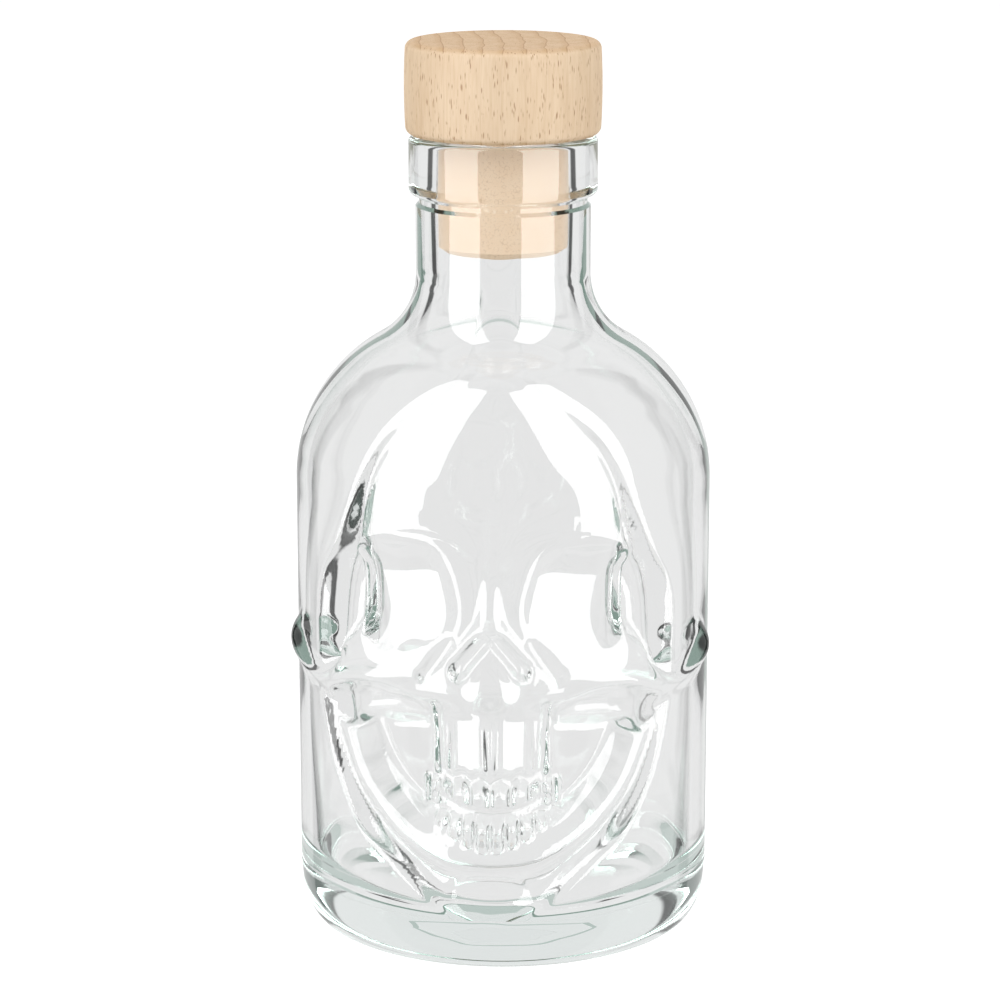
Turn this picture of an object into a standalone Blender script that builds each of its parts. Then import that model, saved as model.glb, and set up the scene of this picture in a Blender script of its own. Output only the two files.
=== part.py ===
"""A clear glass bottle with a skull moulded into its front, closed by a turned beech stopper.

Metres, +Z up. The origin is the centre of the base, and the skull faces -Y.
"""

import math

import bpy
import numpy as np

# Glass body
BODY_RADIUS = 0.0310
BODY_WALL = 0.0026
STRAIGHT_TOP = 0.0680
SHOULDER_RADIUS = 0.02425

# Base
HEEL_WIDTH = 0.0032
HEEL_HEIGHT = 0.0070
BAND_RISE = 0.0010
BAND_STEP = 0.00015
BEARING_WIDTH = 0.0034
PUSH_UP_DEPTH = 0.0006
FLOOR_HEIGHT = 0.0068
FLOOR_CORNER = 0.0060

# Neck and lip
NECK_RADIUS = 0.01295
NECK_WALL = 0.0029
NECK_FILLET = 0.0110
NECK_LENGTH = 0.0100
UNDERCUT_DEPTH = 0.0005
UNDERCUT_HEIGHT = 0.0017
LIP_RADIUS = 0.01395
LIP_HEIGHT = 0.0085
RIM_ROUNDING = 0.0008

# Stopper
SEAT_GAP = 0.0003
HEAD_RADIUS = 0.0144
HEAD_HEIGHT = 0.0137
HEAD_BARREL = 0.00015
HEAD_ROUNDING = 0.0012
PLUG_CLEARANCE = 0.0003
PLUG_REACH = 0.0168
PLUG_CHAMFER = 0.0009
SOCKET_DEPTH = 0.0050
GLUE_THICKNESS = 0.0005

# Skull: distances across the front, measured round the body from its middle, and up from the base band
RECESS_EDGE = (
    (0.0000, 0.0000),
    (0.0021, 0.0001),
    (0.0055, 0.0009),
    (0.0098, 0.0032),
    (0.0148, 0.0071),
    (0.0204, 0.0110),
    (0.0246, 0.0165),
    (0.0276, 0.0215),
    (0.0302, 0.0290),
    (0.0312, 0.0360),
    (0.0312, 0.0440),
    (0.0296, 0.0495),
    (0.0262, 0.0545),
    (0.0233, 0.0600),
    (0.0212, 0.0655),
    (0.0189, 0.0710),
    (0.0158, 0.0750),
    (0.0110, 0.0785),
    (0.0055, 0.0801),
    (0.0000, 0.0807),
)
RECESS_LEVELS = (0.0, 0.007, 0.016, 0.028, 0.038, 0.050, 0.058, 0.066, 0.073, 0.077)
RECESS_DEPTHS = (
    0.0006, 0.0028, 0.0066, 0.0051, 0.0048, 0.0054, 0.0036, 0.0018, 0.0008, 0.0004,
)
RECESS_WALLS = (
    0.0018, 0.0024, 0.0038, 0.0052, 0.0060, 0.0044, 0.0028, 0.0026, 0.0034, 0.0036,
)

FACE_EDGE = (
    (0.0000, 0.0205),
    (0.0092, 0.0205),
    (0.0106, 0.0232),
    (0.0104, 0.0272),
    (0.0120, 0.0302),
    (0.0160, 0.0313),
    (0.0212, 0.0312),
    (0.0262, 0.0316),
    (0.0268, 0.0350),
    (0.0256, 0.0386),
    (0.0226, 0.0408),
    (0.0209, 0.0432),
    (0.0206, 0.0490),
    (0.0207, 0.0542),
    (0.0200, 0.0590),
    (0.0183, 0.0661),
    (0.0160, 0.0712),
    (0.0114, 0.0757),
    (0.0053, 0.0778),
    (0.0000, 0.0783),
)
FACE_LEVELS = (0.0205, 0.026, 0.032, 0.040, 0.048, 0.056)
FACE_DEPTHS = (0.0013, 0.0013, 0.0012, 0.0006, 0.0003, 0.0)
FACE_SLOPE = 1.7

FOREHEAD_LEVELS = (0.034, 0.044, 0.054, 0.0595, 0.064, 0.068, 0.072, 0.0752, 0.0783)
FOREHEAD_DEPTHS = (
    0.0, 0.0016, 0.0030, 0.0030, 0.0023, 0.0014, 0.0006, 0.0002, 0.0,
)
FOREHEAD_SIDES = (
    0.0, 0.0, 0.0, 0.0, 0.0002, 0.0008, 0.0014, 0.0014, 0.0010,
)
FOREHEAD_WIDTHS = (
    0.0215, 0.0210, 0.0207, 0.0200, 0.0188, 0.0176, 0.0158, 0.0125, 0.0080,
)

ORBIT_CENTRE = (0.0130, 0.0480)
ORBIT_RADII = (0.0089, 0.0085)
ORBIT_TILT = math.radians(-12.0)
ORBIT_DEPTH = 0.0034
ORBIT_RIM_DEPTH = 0.0012
ORBIT_POWERS = (3.0, 2.7)

# Each ridge runs through points of (across, up, how far it stands out from the body, half width).
# For a groove the third number is how far its bottom lies below the body.
RIDGE_EDGE = 2.0
BROW = (
    (0.0030, 0.0545, -0.0029, 0.0014),
    (0.0068, 0.0576, -0.0023, 0.0018),
    (0.0130, 0.0588, -0.0014, 0.0020),
    (0.0184, 0.0574, -0.0004, 0.0018),
    (0.0206, 0.0540, 0.0000, 0.0013),
)
NASAL_BONE = (
    (0.0000, 0.0580, -0.0030, 0.0030),
    (0.0000, 0.0525, -0.0029, 0.0024),
    (0.0000, 0.0475, -0.0016, 0.0020),
    (0.0000, 0.0438, -0.0004, 0.0020),
)
NOSTRIL_RIM = (
    (0.0008, 0.0434, 0.0000, 0.0010),
    (0.0030, 0.0406, 0.0000, 0.0011),
    (0.0056, 0.0370, -0.0003, 0.0011),
)
CHEEKBONE = (
    (0.0100, 0.0366, -0.0010, 0.0022),
    (0.0150, 0.0362, -0.0003, 0.0024),
    (0.0235, 0.0352, 0.0001, 0.0026),
    (0.0300, 0.0345, 0.0003, 0.0027),
    (0.0360, 0.0339, 0.0008, 0.0030),
    (0.0418, 0.0331, 0.0011, 0.0036),
)
JAW = (
    (0.0000, 0.0085, -0.0007, 0.0024),
    (0.0065, 0.0089, -0.0009, 0.0024),
    (0.0125, 0.0110, -0.0016, 0.0022),
    (0.0180, 0.0145, -0.0020, 0.0022),
    (0.0224, 0.0190, -0.0016, 0.0021),
    (0.0250, 0.0240, -0.0013, 0.0020),
    (0.0272, 0.0296, -0.0009, 0.0020),
)

NOSE_OPENING = (
    (0.0000, 0.0305),
    (0.0032, 0.0310),
    (0.0051, 0.0332),
    (0.0053, 0.0362),
    (0.0034, 0.0394),
    (0.0000, 0.0423),
)
NOSE_DEPTH = 0.0022
NOSE_WALL = 0.0042
NOSE_SLOT = ((0.0011, 0.0413, 0.0036, 0.0006), (0.0046, 0.0376, 0.0036, 0.0008))
CHEEK_HOLLOW = (
    (0.0122, 0.0294, 0.0062, 0.0008),
    (0.0165, 0.0299, 0.0074, 0.0011),
    (0.0215, 0.0297, 0.0074, 0.0011),
    (0.0248, 0.0292, 0.0060, 0.0008),
)
CHEEK_GROOVE = (
    (0.0064, 0.0415, 0.0026, 0.0007),
    (0.0084, 0.0388, 0.0024, 0.0008),
    (0.0102, 0.0364, 0.0017, 0.0007),
)
CHIN_HOLLOW_HEIGHT = 0.0040
CHIN_HOLLOW_RADII = (0.0070, 0.0021)
CHIN_HOLLOW_WALL = 0.3
CHIN_HOLLOW_DEPTH = 0.0009

UPPER_TEETH = (0.0180, 0.0026, (0.0033, 0.0032, 0.0022, 0.0024, 0.0020))
LOWER_TEETH = (0.0122, 0.0032, (0.0024, 0.0022, 0.0027, 0.0024, 0.0020))
TOOTH_DEPTH = 0.0006
TOOTH_CROWN = 0.0026
TOOTH_BLEND = 0.0003
ROOT_GROOVES = (
    ((0.0000, 0.0290, 0.0026, 0.0007), (0.0000, 0.0212, 0.0028, 0.0003)),
    ((0.0063, 0.0285, 0.0036, 0.0003), (0.0066, 0.0212, 0.0042, 0.0003)),
    ((0.0094, 0.0310, 0.0050, 0.0004), (0.0090, 0.0212, 0.0056, 0.0004)),
)
GUM_LINE = (
    (0.0000, 0.0203, 0.0032, 0.0004),
    (0.0016, 0.0212, 0.0033, 0.0004),
    (0.0033, 0.0204, 0.0036, 0.0004),
    (0.0048, 0.0212, 0.0040, 0.0004),
    (0.0065, 0.0205, 0.0046, 0.0004),
    (0.0086, 0.0211, 0.0056, 0.0004),
)
BITE_LINE = (
    (0.0000, 0.0155, 0.0036, 0.0004),
    (0.0032, 0.0157, 0.0040, 0.0004),
    (0.0062, 0.0162, 0.0048, 0.0004),
    (0.0092, 0.0170, 0.0060, 0.0004),
)
GUM_DEPTH = 0.0022
GUM_RISE = 0.0020
DENTAL_ARCH_SLOPE = 0.18
DENTAL_ARCH_RADIUS = 0.0300
DENTAL_ARCH_TOP = 0.0320

RELIEF_BLEND = 0.0005
EDGE_SOFTNESS = 0.00028
WALL_EVENING = 0.0050
WALL_THINNING = 0.0012
GRID_REACH = 0.0500
GRID_CELL = 0.0005

# Fineness of the shapes
CURVE_STEPS = 3
GLASS_STEPS = 240
GLASS_ROW = 0.0009
GLASS_KEPT = 0.082
WOOD_STEPS = 48
SHOULDER_STEPS = 24
FILLET_STEPS = 12
HEEL_STEPS = 6
ROUNDING_STEPS = 3
MERGE_DISTANCE = 0.00001
SHARP_ANGLE = math.radians(40.0)

BAND_HEIGHT = HEEL_HEIGHT + BAND_RISE
SHOULDER_CENTRE = BODY_RADIUS - SHOULDER_RADIUS
FILLET_CENTRE = NECK_RADIUS + NECK_FILLET
SHOULDER_TOP = STRAIGHT_TOP + math.sqrt(
    (SHOULDER_RADIUS + NECK_FILLET) ** 2 - (FILLET_CENTRE - SHOULDER_CENTRE) ** 2
)
LIP_FOOT = SHOULDER_TOP + NECK_LENGTH + UNDERCUT_HEIGHT
RIM_HEIGHT = LIP_FOOT + LIP_HEIGHT
BORE_RADIUS = NECK_RADIUS - NECK_WALL
PLUG_RADIUS = BORE_RADIUS - PLUG_CLEARANCE
SOCKET_RADIUS = PLUG_RADIUS + SEAT_GAP
HEAD_BOTTOM = RIM_HEIGHT + SEAT_GAP
SOCKET_TOP = HEAD_BOTTOM + SOCKET_DEPTH
GLUE_TOP = SOCKET_TOP - SEAT_GAP
PLUG_TOP = GLUE_TOP - GLUE_THICKNESS - SEAT_GAP


def smooth_step(value, low, high):
    """0 below low, 1 above high, with a soft S between."""
    part = np.clip((value - low) / (high - low), 0.0, 1.0)
    return part * part * (3.0 - 2.0 * part)


def smooth_max(first, second, blend):
    """The larger of two heights, with the crease between them rounded over blend."""
    share = np.clip(0.5 + 0.5 * (first - second) / blend, 0.0, 1.0)
    return second + (first - second) * share + blend * share * (1.0 - share)


def smooth_min(first, second, blend):
    """The smaller of two heights, with the crease between them rounded over blend."""
    return -smooth_max(-first, -second, blend)


def curved(points):
    """A chain of points rounded into a smooth curve through them."""
    spots = np.array(points)
    spots = np.vstack([2.0 * spots[0] - spots[1], spots, 2.0 * spots[-1] - spots[-2]])
    rounded = [spots[1]]
    for index in range(1, len(spots) - 2):
        before, start, end, after = spots[index - 1 : index + 3]
        for step in range(1, CURVE_STEPS + 1):
            share = step / CURVE_STEPS
            bend = (2.0 * before - 5.0 * start + 4.0 * end - after) * share**2
            twist = (3.0 * start - before - 3.0 * end + after) * share**3
            rounded.append(0.5 * (2.0 * start + (end - before) * share + bend + twist))
    return rounded


def runs(points):
    """Each straight run of a chain of points, as its two ends."""
    return zip(points[:-1], points[1:])


def nearest_on_run(across, up, start, end):
    """How far along a run, from 0 to 1, the nearest point lies, and the distance to it."""
    run = (end[0] - start[0], end[1] - start[1])
    length_squared = run[0] ** 2 + run[1] ** 2
    share = ((across - start[0]) * run[0] + (up - start[1]) * run[1]) / length_squared
    share = np.clip(share, 0.0, 1.0)
    distance = np.hypot(across - start[0] - share * run[0], up - start[1] - share * run[1])
    return share, distance


def depth_inside(across, up, half_outline):
    """Distance inside an outline given as its right half, negative outside it."""
    right_half = curved(half_outline)
    left_half = [point * (-1.0, 1.0) for point in reversed(right_half)]
    outline = right_half + left_half[1:]
    nearest = np.full(across.shape, np.inf)
    inside = np.zeros(across.shape, dtype=bool)
    for start, end in runs(outline):
        nearest = np.minimum(nearest, nearest_on_run(across, up, start, end)[1])
        if start[1] != end[1]:
            crossing = start[0] + (up - start[1]) / (end[1] - start[1]) * (end[0] - start[0])
            inside ^= ((start[1] > up) != (end[1] > up)) & (across < crossing)
    return np.where(inside, nearest, -nearest)


def ridge(across, up, points):
    """Height of a rounded ridge that runs through points and falls away evenly on both sides."""
    highest = np.full(across.shape, -np.inf)
    for start, end in runs(curved(points)):
        share, distance = nearest_on_run(across, up, start, end)
        crest = start[2] + share * (end[2] - start[2])
        width = start[3] + share * (end[3] - start[3])
        reach = distance / width
        straight = RIDGE_EDGE * reach - 0.5 * RIDGE_EDGE**2
        fall = np.where(reach < RIDGE_EDGE, 0.5 * reach**2, straight)
        highest = np.maximum(highest, crest - width * fall)
    return highest


def forehead(across, up):
    """How far the forehead and the brow, which are flatter than the body, lie behind its curve."""
    middle = np.interp(up, FOREHEAD_LEVELS, FOREHEAD_DEPTHS)
    sides = np.interp(up, FOREHEAD_LEVELS, FOREHEAD_SIDES)
    half_width = np.interp(up, FOREHEAD_LEVELS, FOREHEAD_WIDTHS)
    share = np.clip((across / half_width) ** 2, 0.0, 1.0)
    return -middle * (1.0 - share) - sides * share


def orbit(across, up):
    """The bowl of an eye socket."""
    shift = (across - ORBIT_CENTRE[0], up - ORBIT_CENTRE[1])
    along = shift[0] * math.cos(ORBIT_TILT) + shift[1] * math.sin(ORBIT_TILT)
    athwart = shift[1] * math.cos(ORBIT_TILT) - shift[0] * math.sin(ORBIT_TILT)
    reach = np.abs(along / ORBIT_RADII[0]) ** ORBIT_POWERS[0]
    reach += np.abs(athwart / ORBIT_RADII[1]) ** ORBIT_POWERS[1]
    return ORBIT_DEPTH * (reach - 1.0) - ORBIT_RIM_DEPTH


def dental_arch(across):
    """How far the curve of the tooth rows has fallen back at a distance from the middle."""
    return -DENTAL_ARCH_SLOPE * across - 0.5 * across**2 / DENTAL_ARCH_RADIUS


def tooth_row(across, up, row):
    """Crowns of one row of teeth, from the middle outwards, along the curve of the jaw."""
    level, half_height, widths = row
    curve = dental_arch(across) - TOOTH_DEPTH
    highest = np.full(across.shape, -np.inf)
    middle = 0.0
    for width in widths:
        middle += width / 2.0
        side = np.abs((across - middle) / (width / 2.0))
        rise = np.abs((up - level) / half_height)
        highest = np.maximum(highest, curve - TOOTH_CROWN * (side**6 + rise**6))
        middle += width / 2.0
    return highest


def gums(across, up):
    """The bone that carries both rows of teeth."""
    low = LOWER_TEETH[0] - LOWER_TEETH[1]
    high = UPPER_TEETH[0] + UPPER_TEETH[1] + GUM_RISE
    reach = sum(UPPER_TEETH[2])
    outside = np.maximum(np.maximum(low - up, up - high), across - reach)
    return dental_arch(across) - GUM_DEPTH - FACE_SLOPE * np.maximum(outside, 0.0)


def relief(across, up):
    """How far the outer surface stands out from the plain body, on the skull's right half."""
    depth = np.interp(up, RECESS_LEVELS, RECESS_DEPTHS)
    wall = np.interp(up, RECESS_LEVELS, RECESS_WALLS)
    inside = depth_inside(across, up, RECESS_EDGE)
    height = -depth * smooth_step(inside, 0.0, wall)

    outside_face = np.maximum(-depth_inside(across, up, FACE_EDGE), 0.0)
    face = forehead(across, up) - np.interp(up, FACE_LEVELS, FACE_DEPTHS)
    face += dental_arch(across) * smooth_step(DENTAL_ARCH_TOP - up, -GUM_RISE, GUM_RISE)
    face -= FACE_SLOPE * outside_face
    height = smooth_max(height, face, RELIEF_BLEND)
    height = smooth_max(height, gums(across, up), RELIEF_BLEND)
    for bone in (BROW, CHEEKBONE, JAW):
        height = smooth_max(height, ridge(across, up, bone), RELIEF_BLEND)
    height = smooth_min(height, orbit(across, up), RELIEF_BLEND)
    height = smooth_max(height, ridge(across, up, NASAL_BONE), RELIEF_BLEND)
    height = smooth_max(height, ridge(across, up, NOSTRIL_RIM), RELIEF_BLEND)

    into_nose = depth_inside(across, up, NOSE_OPENING)
    height -= NOSE_DEPTH * smooth_step(into_nose, 0.0, NOSE_WALL)
    for groove in (NOSE_SLOT, CHEEK_HOLLOW, CHEEK_GROOVE, *ROOT_GROOVES):
        height = smooth_min(height, -ridge(across, up, groove), RELIEF_BLEND)
    for row in (UPPER_TEETH, LOWER_TEETH):
        height = smooth_max(height, tooth_row(across, up, row), TOOTH_BLEND)
    for groove in (GUM_LINE, BITE_LINE):
        height = smooth_min(height, -ridge(across, up, groove), TOOTH_BLEND)

    wide, tall = CHIN_HOLLOW_RADII
    reach = np.hypot(across / wide, (up - CHIN_HOLLOW_HEIGHT) / tall)
    height -= CHIN_HOLLOW_DEPTH * smooth_step(1.0 - reach, 0.0, CHIN_HOLLOW_WALL)
    return height * smooth_step(up, -EDGE_SOFTNESS, EDGE_SOFTNESS)


def skull_grid():
    """The places of an even grid round the front of the body, and the relief and the flatness at each."""
    half = np.arange(0.0, GRID_REACH, GRID_CELL)
    up = np.arange(-GRID_CELL, SHOULDER_TOP - BAND_HEIGHT, GRID_CELL)
    places = np.meshgrid(half, up)
    rights = (relief(*places), forehead(*places))
    heights, flatness = (np.hstack([right[:, :0:-1], right]) for right in rights)
    return np.concatenate([-half[:0:-1], half]), up, heights, flatness


def softened(heights, spread):
    """Heights on the grid, smoothed over a distance."""
    cells = int(3.0 * spread / GRID_CELL)
    weights = np.exp(-0.5 * (np.arange(-cells, cells + 1) * GRID_CELL / spread) ** 2)
    weights /= weights.sum()
    for direction in (0, 1):
        heights = np.apply_along_axis(np.convolve, direction, heights, weights, "same")
    return heights


def sampled(columns, rows, heights, around, up):
    """Heights on the grid, read between its points."""
    column = np.clip((around - columns[0]) / GRID_CELL, 0.0, len(columns) - 1.0)
    row = np.clip((up - rows[0]) / GRID_CELL, 0.0, len(rows) - 1.0)
    left = np.minimum(column.astype(int), len(columns) - 2)
    below = np.minimum(row.astype(int), len(rows) - 2)
    aside = column - left
    higher = row - below
    low = heights[below, left] * (1.0 - aside) + heights[below, left + 1] * aside
    high = heights[below + 1, left] * (1.0 - aside) + heights[below + 1, left + 1] * aside
    return low * (1.0 - higher) + high * higher


def arc(centre, radius, start, end, steps, stretch=1.0):
    """Points of an arc, as (radius, height), with angles in degrees and its heights stretched."""
    angles = [math.radians(start + (end - start) * step / steps) for step in range(steps + 1)]
    tall = radius * stretch
    return [(centre[0] + radius * math.cos(a), centre[1] + tall * math.sin(a)) for a in angles]


def rows_between(start, end, spacing):
    """Evenly spaced points on the straight line between two points, without its ends."""
    count = max(1, round(math.dist(start, end) / spacing))
    shares = [row / count for row in range(1, count)]
    return [
        (start[0] + (end[0] - start[0]) * share, start[1] + (end[1] - start[1]) * share)
        for share in shares
    ]


def shoulder(neck, radius, fillet):
    """Shoulder and neck fillet from the body's side up to the neck's, as two arcs that meet smoothly."""
    aside = neck + fillet - SHOULDER_CENTRE
    above = math.sqrt((radius + fillet) ** 2 - aside**2)
    meeting = math.degrees(math.atan2(above, aside))
    rising = arc((SHOULDER_CENTRE, STRAIGHT_TOP), radius, 0.0, meeting, SHOULDER_STEPS)
    centre = (neck + fillet, STRAIGHT_TOP + above)
    return rising + arc(centre, fillet, 180.0 + meeting, 180.0, FILLET_STEPS)[1:]


def outer_side():
    """Outer side of the glass, from the rim down to the middle of the base."""
    rim_centre = (LIP_RADIUS - RIM_ROUNDING, RIM_HEIGHT - RIM_ROUNDING)
    rim = arc(rim_centre, RIM_ROUNDING, 90.0, 0.0, ROUNDING_STEPS)
    undercut = NECK_RADIUS - UNDERCUT_DEPTH
    lip = [
        (LIP_RADIUS, LIP_FOOT + RIM_ROUNDING),
        (LIP_RADIUS - RIM_ROUNDING / 2.0, LIP_FOOT),
        (undercut, LIP_FOOT - UNDERCUT_DEPTH),
        (undercut, LIP_FOOT - UNDERCUT_HEIGHT + UNDERCUT_DEPTH),
        (NECK_RADIUS, LIP_FOOT - UNDERCUT_HEIGHT),
    ]
    above_body = shoulder(NECK_RADIUS, SHOULDER_RADIUS, NECK_FILLET)
    above_body.reverse()
    side_foot = (BODY_RADIUS, BAND_HEIGHT + BAND_STEP)
    side = rows_between(above_body[-1], side_foot, GLASS_ROW)
    band_radius = BODY_RADIUS - BAND_STEP
    ring = band_radius - HEEL_WIDTH
    heel = arc((ring, HEEL_HEIGHT), HEEL_WIDTH, 0.0, -90.0, HEEL_STEPS, HEEL_HEIGHT / HEEL_WIDTH)
    bearing = ring - BEARING_WIDTH
    shares = (0.97, 0.9, 0.75, 0.5, 0.25)
    push_up = [(bearing * share, PUSH_UP_DEPTH * (1.0 - share**3)) for share in shares]
    base = [(band_radius, BAND_HEIGHT)] + heel + [(bearing, 0.0)] + push_up
    return rim + lip + above_body + side + [side_foot] + base + [(0.0, PUSH_UP_DEPTH)]


def inner_side():
    """Inner side of the glass, from the middle of the floor up to the rim."""
    corner_centre = (BODY_RADIUS - BODY_WALL - FLOOR_CORNER, FLOOR_HEIGHT + FLOOR_CORNER)
    corner = arc(corner_centre, FLOOR_CORNER, -90.0, 0.0, HEEL_STEPS)
    floor = [(corner_centre[0] * share, FLOOR_HEIGHT) for share in (0.0, 0.35, 0.7)]
    above_body = shoulder(BORE_RADIUS, SHOULDER_RADIUS - BODY_WALL, NECK_FILLET + NECK_WALL)
    side = rows_between(corner[-1], above_body[0], GLASS_ROW)
    rim_centre = (BORE_RADIUS + RIM_ROUNDING, RIM_HEIGHT - RIM_ROUNDING)
    rim = arc(rim_centre, RIM_ROUNDING, 180.0, 90.0, ROUNDING_STEPS)
    return floor + corner + side + above_body + rim


def wall_middle(up):
    """Radius at a height that parts the glass wall's outer side from its inner one."""
    rows = sorted((height, radius) for radius, height in outer_side() if radius > BORE_RADIUS)
    heights = [row[0] for row in rows]
    radii = [row[1] for row in rows]
    return np.interp(up, heights, radii) - min(BODY_WALL, NECK_WALL) / 2.0


def shaped(name, rough, kind, **settings):
    """A mesh made from a rough one by a modifier, in its place."""
    helper = bpy.data.objects.new(name, rough)
    bpy.context.scene.collection.objects.link(helper)
    modifier = helper.modifiers.new(kind.capitalize(), kind)
    for setting, value in settings.items():
        setattr(modifier, setting, value)
    bpy.context.view_layer.update()
    evaluated = helper.evaluated_get(bpy.context.evaluated_depsgraph_get())
    mesh = bpy.data.meshes.new_from_object(evaluated)
    bpy.data.objects.remove(helper)
    bpy.data.meshes.remove(rough)
    mesh.name = name
    return mesh


def turned(name, profile, steps):
    """A mesh turned round Z from a profile of (radius, height) that runs down its outer side."""
    outline = bpy.data.meshes.new(name + "_outline")
    edges = [(point, point + 1) for point in range(len(profile) - 1)]
    outline.from_pydata([(radius, 0.0, height) for radius, height in profile], edges, [])
    return shaped(
        name,
        outline,
        "SCREW",
        steps=steps,
        render_steps=steps,
        use_merge_vertices=True,
        merge_threshold=MERGE_DISTANCE,
    )


def material(name, colour, roughness, transmission=0.0, ior=1.5):
    """A plain Principled finish."""
    finish = bpy.data.materials.new(name)
    finish.use_nodes = True
    shader = finish.node_tree.nodes["Principled BSDF"]
    shader.inputs["Base Color"].default_value = (*colour, 1.0)
    shader.inputs["Roughness"].default_value = roughness
    shader.inputs["Metallic"].default_value = 0.0
    shader.inputs["Transmission Weight"].default_value = transmission
    shader.inputs["IOR"].default_value = ior
    return finish


def place(name, mesh, finish, parent, collection):
    """An object for one piece, shaded smooth and carried by its parent."""
    mesh.shade_smooth()
    mesh.set_sharp_from_angle(angle=SHARP_ANGLE)
    mesh.materials.clear()
    mesh.materials.append(finish)
    piece = bpy.data.objects.new(name, mesh)
    collection.objects.link(piece)
    piece.parent = parent
    piece.matrix_parent_inverse = parent.matrix_world.inverted()
    return piece


def carrier(name, height, collection):
    """An empty on the bottle's axis that carries a group of pieces."""
    empty = bpy.data.objects.new(name, None)
    empty.empty_display_size = BODY_RADIUS
    empty.location = (0.0, 0.0, height)
    collection.objects.link(empty)
    return empty


def press_skull(mesh):
    """Moves the turned shell's surfaces in and out to the skull, which the inner one follows softly."""
    places = np.array([vertex.co[:] for vertex in mesh.vertices])
    radius = np.hypot(places[:, 0], places[:, 1])
    around = BODY_RADIUS * np.arctan2(places[:, 0], -places[:, 1])
    up = places[:, 2]
    front = (np.abs(around) < GRID_REACH) & (up < SHOULDER_TOP)
    outer = front & (radius > wall_middle(up))
    inner = front & ~outer & (up > FLOOR_HEIGHT + MERGE_DISTANCE)
    columns, rows, heights, flatness = skull_grid()
    outside = softened(heights, EDGE_SOFTNESS)
    evened = softened(heights - flatness, WALL_EVENING) + flatness
    inside = smooth_min(evened, outside + WALL_THINNING, RELIEF_BLEND)
    above_band = up - BAND_HEIGHT
    pressed = radius.copy()
    pressed[outer] += sampled(columns, rows, outside, around[outer], above_band[outer])
    held = smooth_step(up[inner], FLOOR_HEIGHT, FLOOR_HEIGHT + FLOOR_CORNER)
    pressed[inner] += sampled(columns, rows, inside, around[inner], above_band[inner]) * held
    for vertex in np.flatnonzero(outer | inner):
        share = pressed[vertex] / radius[vertex]
        mesh.vertices[vertex].co.x *= share
        mesh.vertices[vertex].co.y *= share


def level_bearing_ring(mesh):
    """Brings the ring that the bottle stands on to one level."""
    for vertex in mesh.vertices:
        if vertex.co.z < MERGE_DISTANCE:
            vertex.co.z = 0.0


def glass(parent, collection):
    """The bottle: a turned shell with the skull pressed into its front, thinned to fewer faces."""
    full = turned("bottle_glass", inner_side() + outer_side(), GLASS_STEPS)
    press_skull(full)
    mesh = shaped("bottle_glass", full, "DECIMATE", ratio=GLASS_KEPT, use_collapse_triangulate=True)
    level_bearing_ring(mesh)
    clear = material("clear_glass", (0.93, 0.97, 0.95), 0.02, transmission=1.0, ior=1.5)
    return place("bottle_glass", mesh, clear, parent, collection)


def stopper_head(parent, collection):
    """The turned wooden head, with a socket underneath for the plug."""
    low = HEAD_BOTTOM
    high = HEAD_BOTTOM + HEAD_HEIGHT
    edge = HEAD_RADIUS - HEAD_ROUNDING
    top = arc((edge, high - HEAD_ROUNDING), HEAD_ROUNDING, 90.0, 0.0, ROUNDING_STEPS)
    side = [(HEAD_RADIUS + HEAD_BARREL, (low + high) / 2.0)]
    bottom = arc((edge, low + HEAD_ROUNDING), HEAD_ROUNDING, 0.0, -90.0, ROUNDING_STEPS)
    socket = [(SOCKET_RADIUS, low), (SOCKET_RADIUS, SOCKET_TOP), (0.0, SOCKET_TOP)]
    profile = [(0.0, high)] + top + side + bottom + socket
    mesh = turned("stopper_head", profile, WOOD_STEPS)
    beech = material("beech", (0.80, 0.62, 0.42), 0.55)
    return place("stopper_head", mesh, beech, parent, collection)


def stopper_plug(parent, collection):
    """The plug that fills the neck, chamfered at its lower end."""
    bottom = RIM_HEIGHT - PLUG_REACH
    profile = [
        (0.0, PLUG_TOP),
        (PLUG_RADIUS, PLUG_TOP),
        (PLUG_RADIUS, bottom + PLUG_CHAMFER),
        (PLUG_RADIUS - PLUG_CHAMFER, bottom),
        (0.0, bottom),
    ]
    mesh = turned("stopper_plug", profile, WOOD_STEPS)
    cork = material("pale_plug", (0.84, 0.70, 0.52), 0.6)
    return place("stopper_plug", mesh, cork, parent, collection)


def stopper_glue(parent, collection):
    """The film of glue between the plug and the roof of its socket."""
    bottom = GLUE_TOP - GLUE_THICKNESS
    profile = [(0.0, GLUE_TOP), (PLUG_RADIUS, GLUE_TOP), (PLUG_RADIUS, bottom), (0.0, bottom)]
    mesh = turned("stopper_glue", profile, WOOD_STEPS)
    glue = material("glue", (0.82, 0.78, 0.66), 0.3)
    return place("stopper_glue", mesh, glue, parent, collection)


def main():
    """Builds the bottle and its stopper."""
    for existing in list(bpy.data.objects):
        bpy.data.objects.remove(existing)
    collection = bpy.data.collections.new("skull_bottle")
    bpy.context.scene.collection.children.link(collection)
    base_axis = carrier("bottle_axis", 0.0, collection)
    stopper_axis = carrier("stopper_axis", RIM_HEIGHT, collection)
    bpy.context.view_layer.update()
    glass(base_axis, collection)
    stopper_head(stopper_axis, collection)
    stopper_plug(stopper_axis, collection)
    stopper_glue(stopper_axis, collection)


main()
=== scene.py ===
"""A clear glass bottle with a skull moulded into its front, closed by a turned beech stopper.

Metres, +Z up. The origin is the centre of the base, and the skull faces -Y.
"""

import logging
import math
from dataclasses import dataclass, field
from enum import Enum
from typing import Callable, Mapping, Optional, Sequence, Union

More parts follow.
